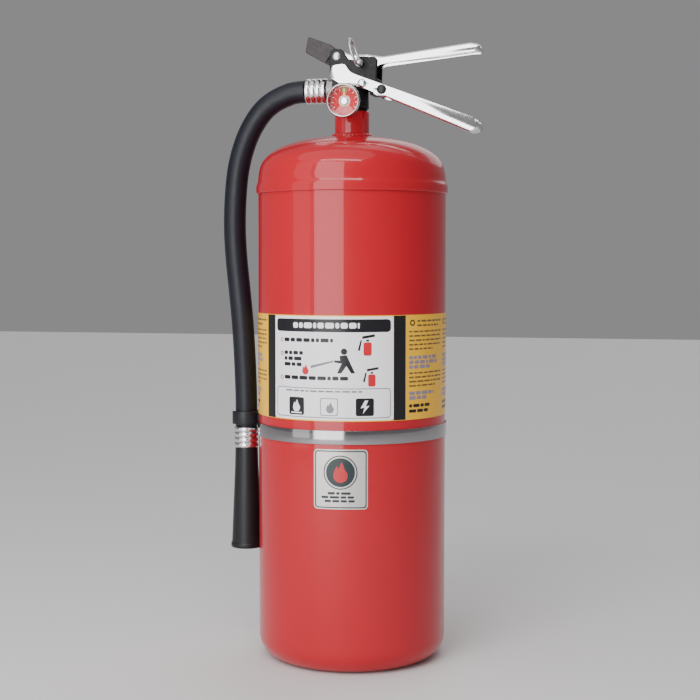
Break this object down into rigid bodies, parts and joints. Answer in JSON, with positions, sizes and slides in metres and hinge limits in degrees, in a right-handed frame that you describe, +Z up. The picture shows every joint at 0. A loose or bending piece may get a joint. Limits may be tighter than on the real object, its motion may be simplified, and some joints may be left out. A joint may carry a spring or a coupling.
{
  "type": "fire extinguisher",
  "caption": "Upright red dry-chemical fire extinguisher with squeeze lever, pressure gauge, pull pin and side hose with nozzle.",
  "frame": {"origin": "the centre of the standing ring, on the floor, on the cylinder's axis", "axes": "+Z up along the cylinder's axis; -Y is the front, which the gauge and the label face; +X points along the carry handle and the lever, and the hose leaves towards -X"},
  "size_m": [0.2585, 0.2002, 0.6072],
  "materials": {
    "red_paint": "gloss red powder coat",
    "powder": "loose pale yellow powder",
    "nylon": "translucent white",
    "dark_cast_metal": "dark anodised casting",
    "seal_rubber": "smooth",
    "brass": "turned",
    "steel": "zinc plated",
    "gauge_metal": "polished thin rim",
    "gauge_face": "printed red face",
    "gauge_needle": "pale yellow",
    "clear_lens": "clear domed lens",
    "chrome_plate": "bright plated sheet",
    "dark_steel": "dark grey satin",
    "black_plastic": "satin moulded black",
    "hose_rubber": "smooth black cover",
    "band_steel": "bright stainless strip",
    "printed_label": "glossy printed sheet with white middle panel and yellow sides",
    "silver_foil": "silver printed sticker"
  },
  "bodies": {
    "extinguisher": {"shell_cup": "red_paint", "top_dome": "red_paint", "neck_collar": "red_paint", "powder_charge": "powder", "dip_tube": "nylon", "valve_body": "dark_cast_metal", "neck_o_ring": "seal_rubber", "stem_o_ring": "seal_rubber", "gland_ring": "brass", "stem_spring": "steel", "gauge_case": "gauge_metal", "gauge_stem": "brass", "gauge_dial": "gauge_face", "gauge_lens": "clear_lens", "carry_handle": "chrome_plate", "lever_pivot_rivet": "steel", "handle_rivet": "chrome_plate", "handle_cross_pin": "black_plastic", "hose_coupling": "brass", "upper_ferrule": "chrome_plate", "discharge_hose": "hose_rubber", "lower_ferrule": "chrome_plate", "nozzle": "black_plastic", "hose_clip": "black_plastic", "shell_band": "band_steel", "band_bolt": "steel", "band_nut": "steel", "instruction_label": "printed_label", "round_emblem_badge": "silver_foil"},
    "lever": {"operating_lever": "chrome_plate", "lever_tongue": "dark_steel"},
    "stem": {"valve_stem": "brass", "stem_seal": "seal_rubber"},
    "safety_pin": {"pull_pin": "steel"},
    "safety_ring": {"pull_ring": "steel"},
    "needle": {"gauge_needle": "gauge_needle"}
  },
  "joints": [
    {"name": "lever_squeeze", "type": "hinge", "parent": "extinguisher", "child": "lever", "pos_m": [-0.012, 0, 0.5875], "axis": [0, 1, 0], "range_deg": [0, 12], "stiffness_Nm_per_rad": 4, "springref_deg": -6.88},
    {"name": "stem_push", "type": "slide", "parent": "extinguisher", "child": "stem", "axis": [0, 0, -1], "range_m": [0, 0.0026], "deforming": ["stem_spring"]},
    {"name": "pin_pull", "type": "slide", "parent": "extinguisher", "child": "safety_pin", "axis": [0, -1, 0], "range_m": [0, 0.045]},
    {"name": "ring_swing", "type": "hinge", "parent": "safety_pin", "child": "safety_ring", "pos_m": [0.0125, -0.023, 0.5792], "axis": [-0.2068, 0.7431, 0.6364], "range_deg": [-40, 40]},
    {"name": "gauge_needle_turn", "type": "hinge", "parent": "extinguisher", "child": "needle", "pos_m": [0, -0.032, 0.5425], "axis": [0, -1, 0], "range_deg": [-60, 100], "stiffness_Nm_per_rad": 0.0005}
  ],
  "couplings": [
    {"joint": "stem_push", "follows": "lever_squeeze", "m_per_rad": 0.012}
  ]
}
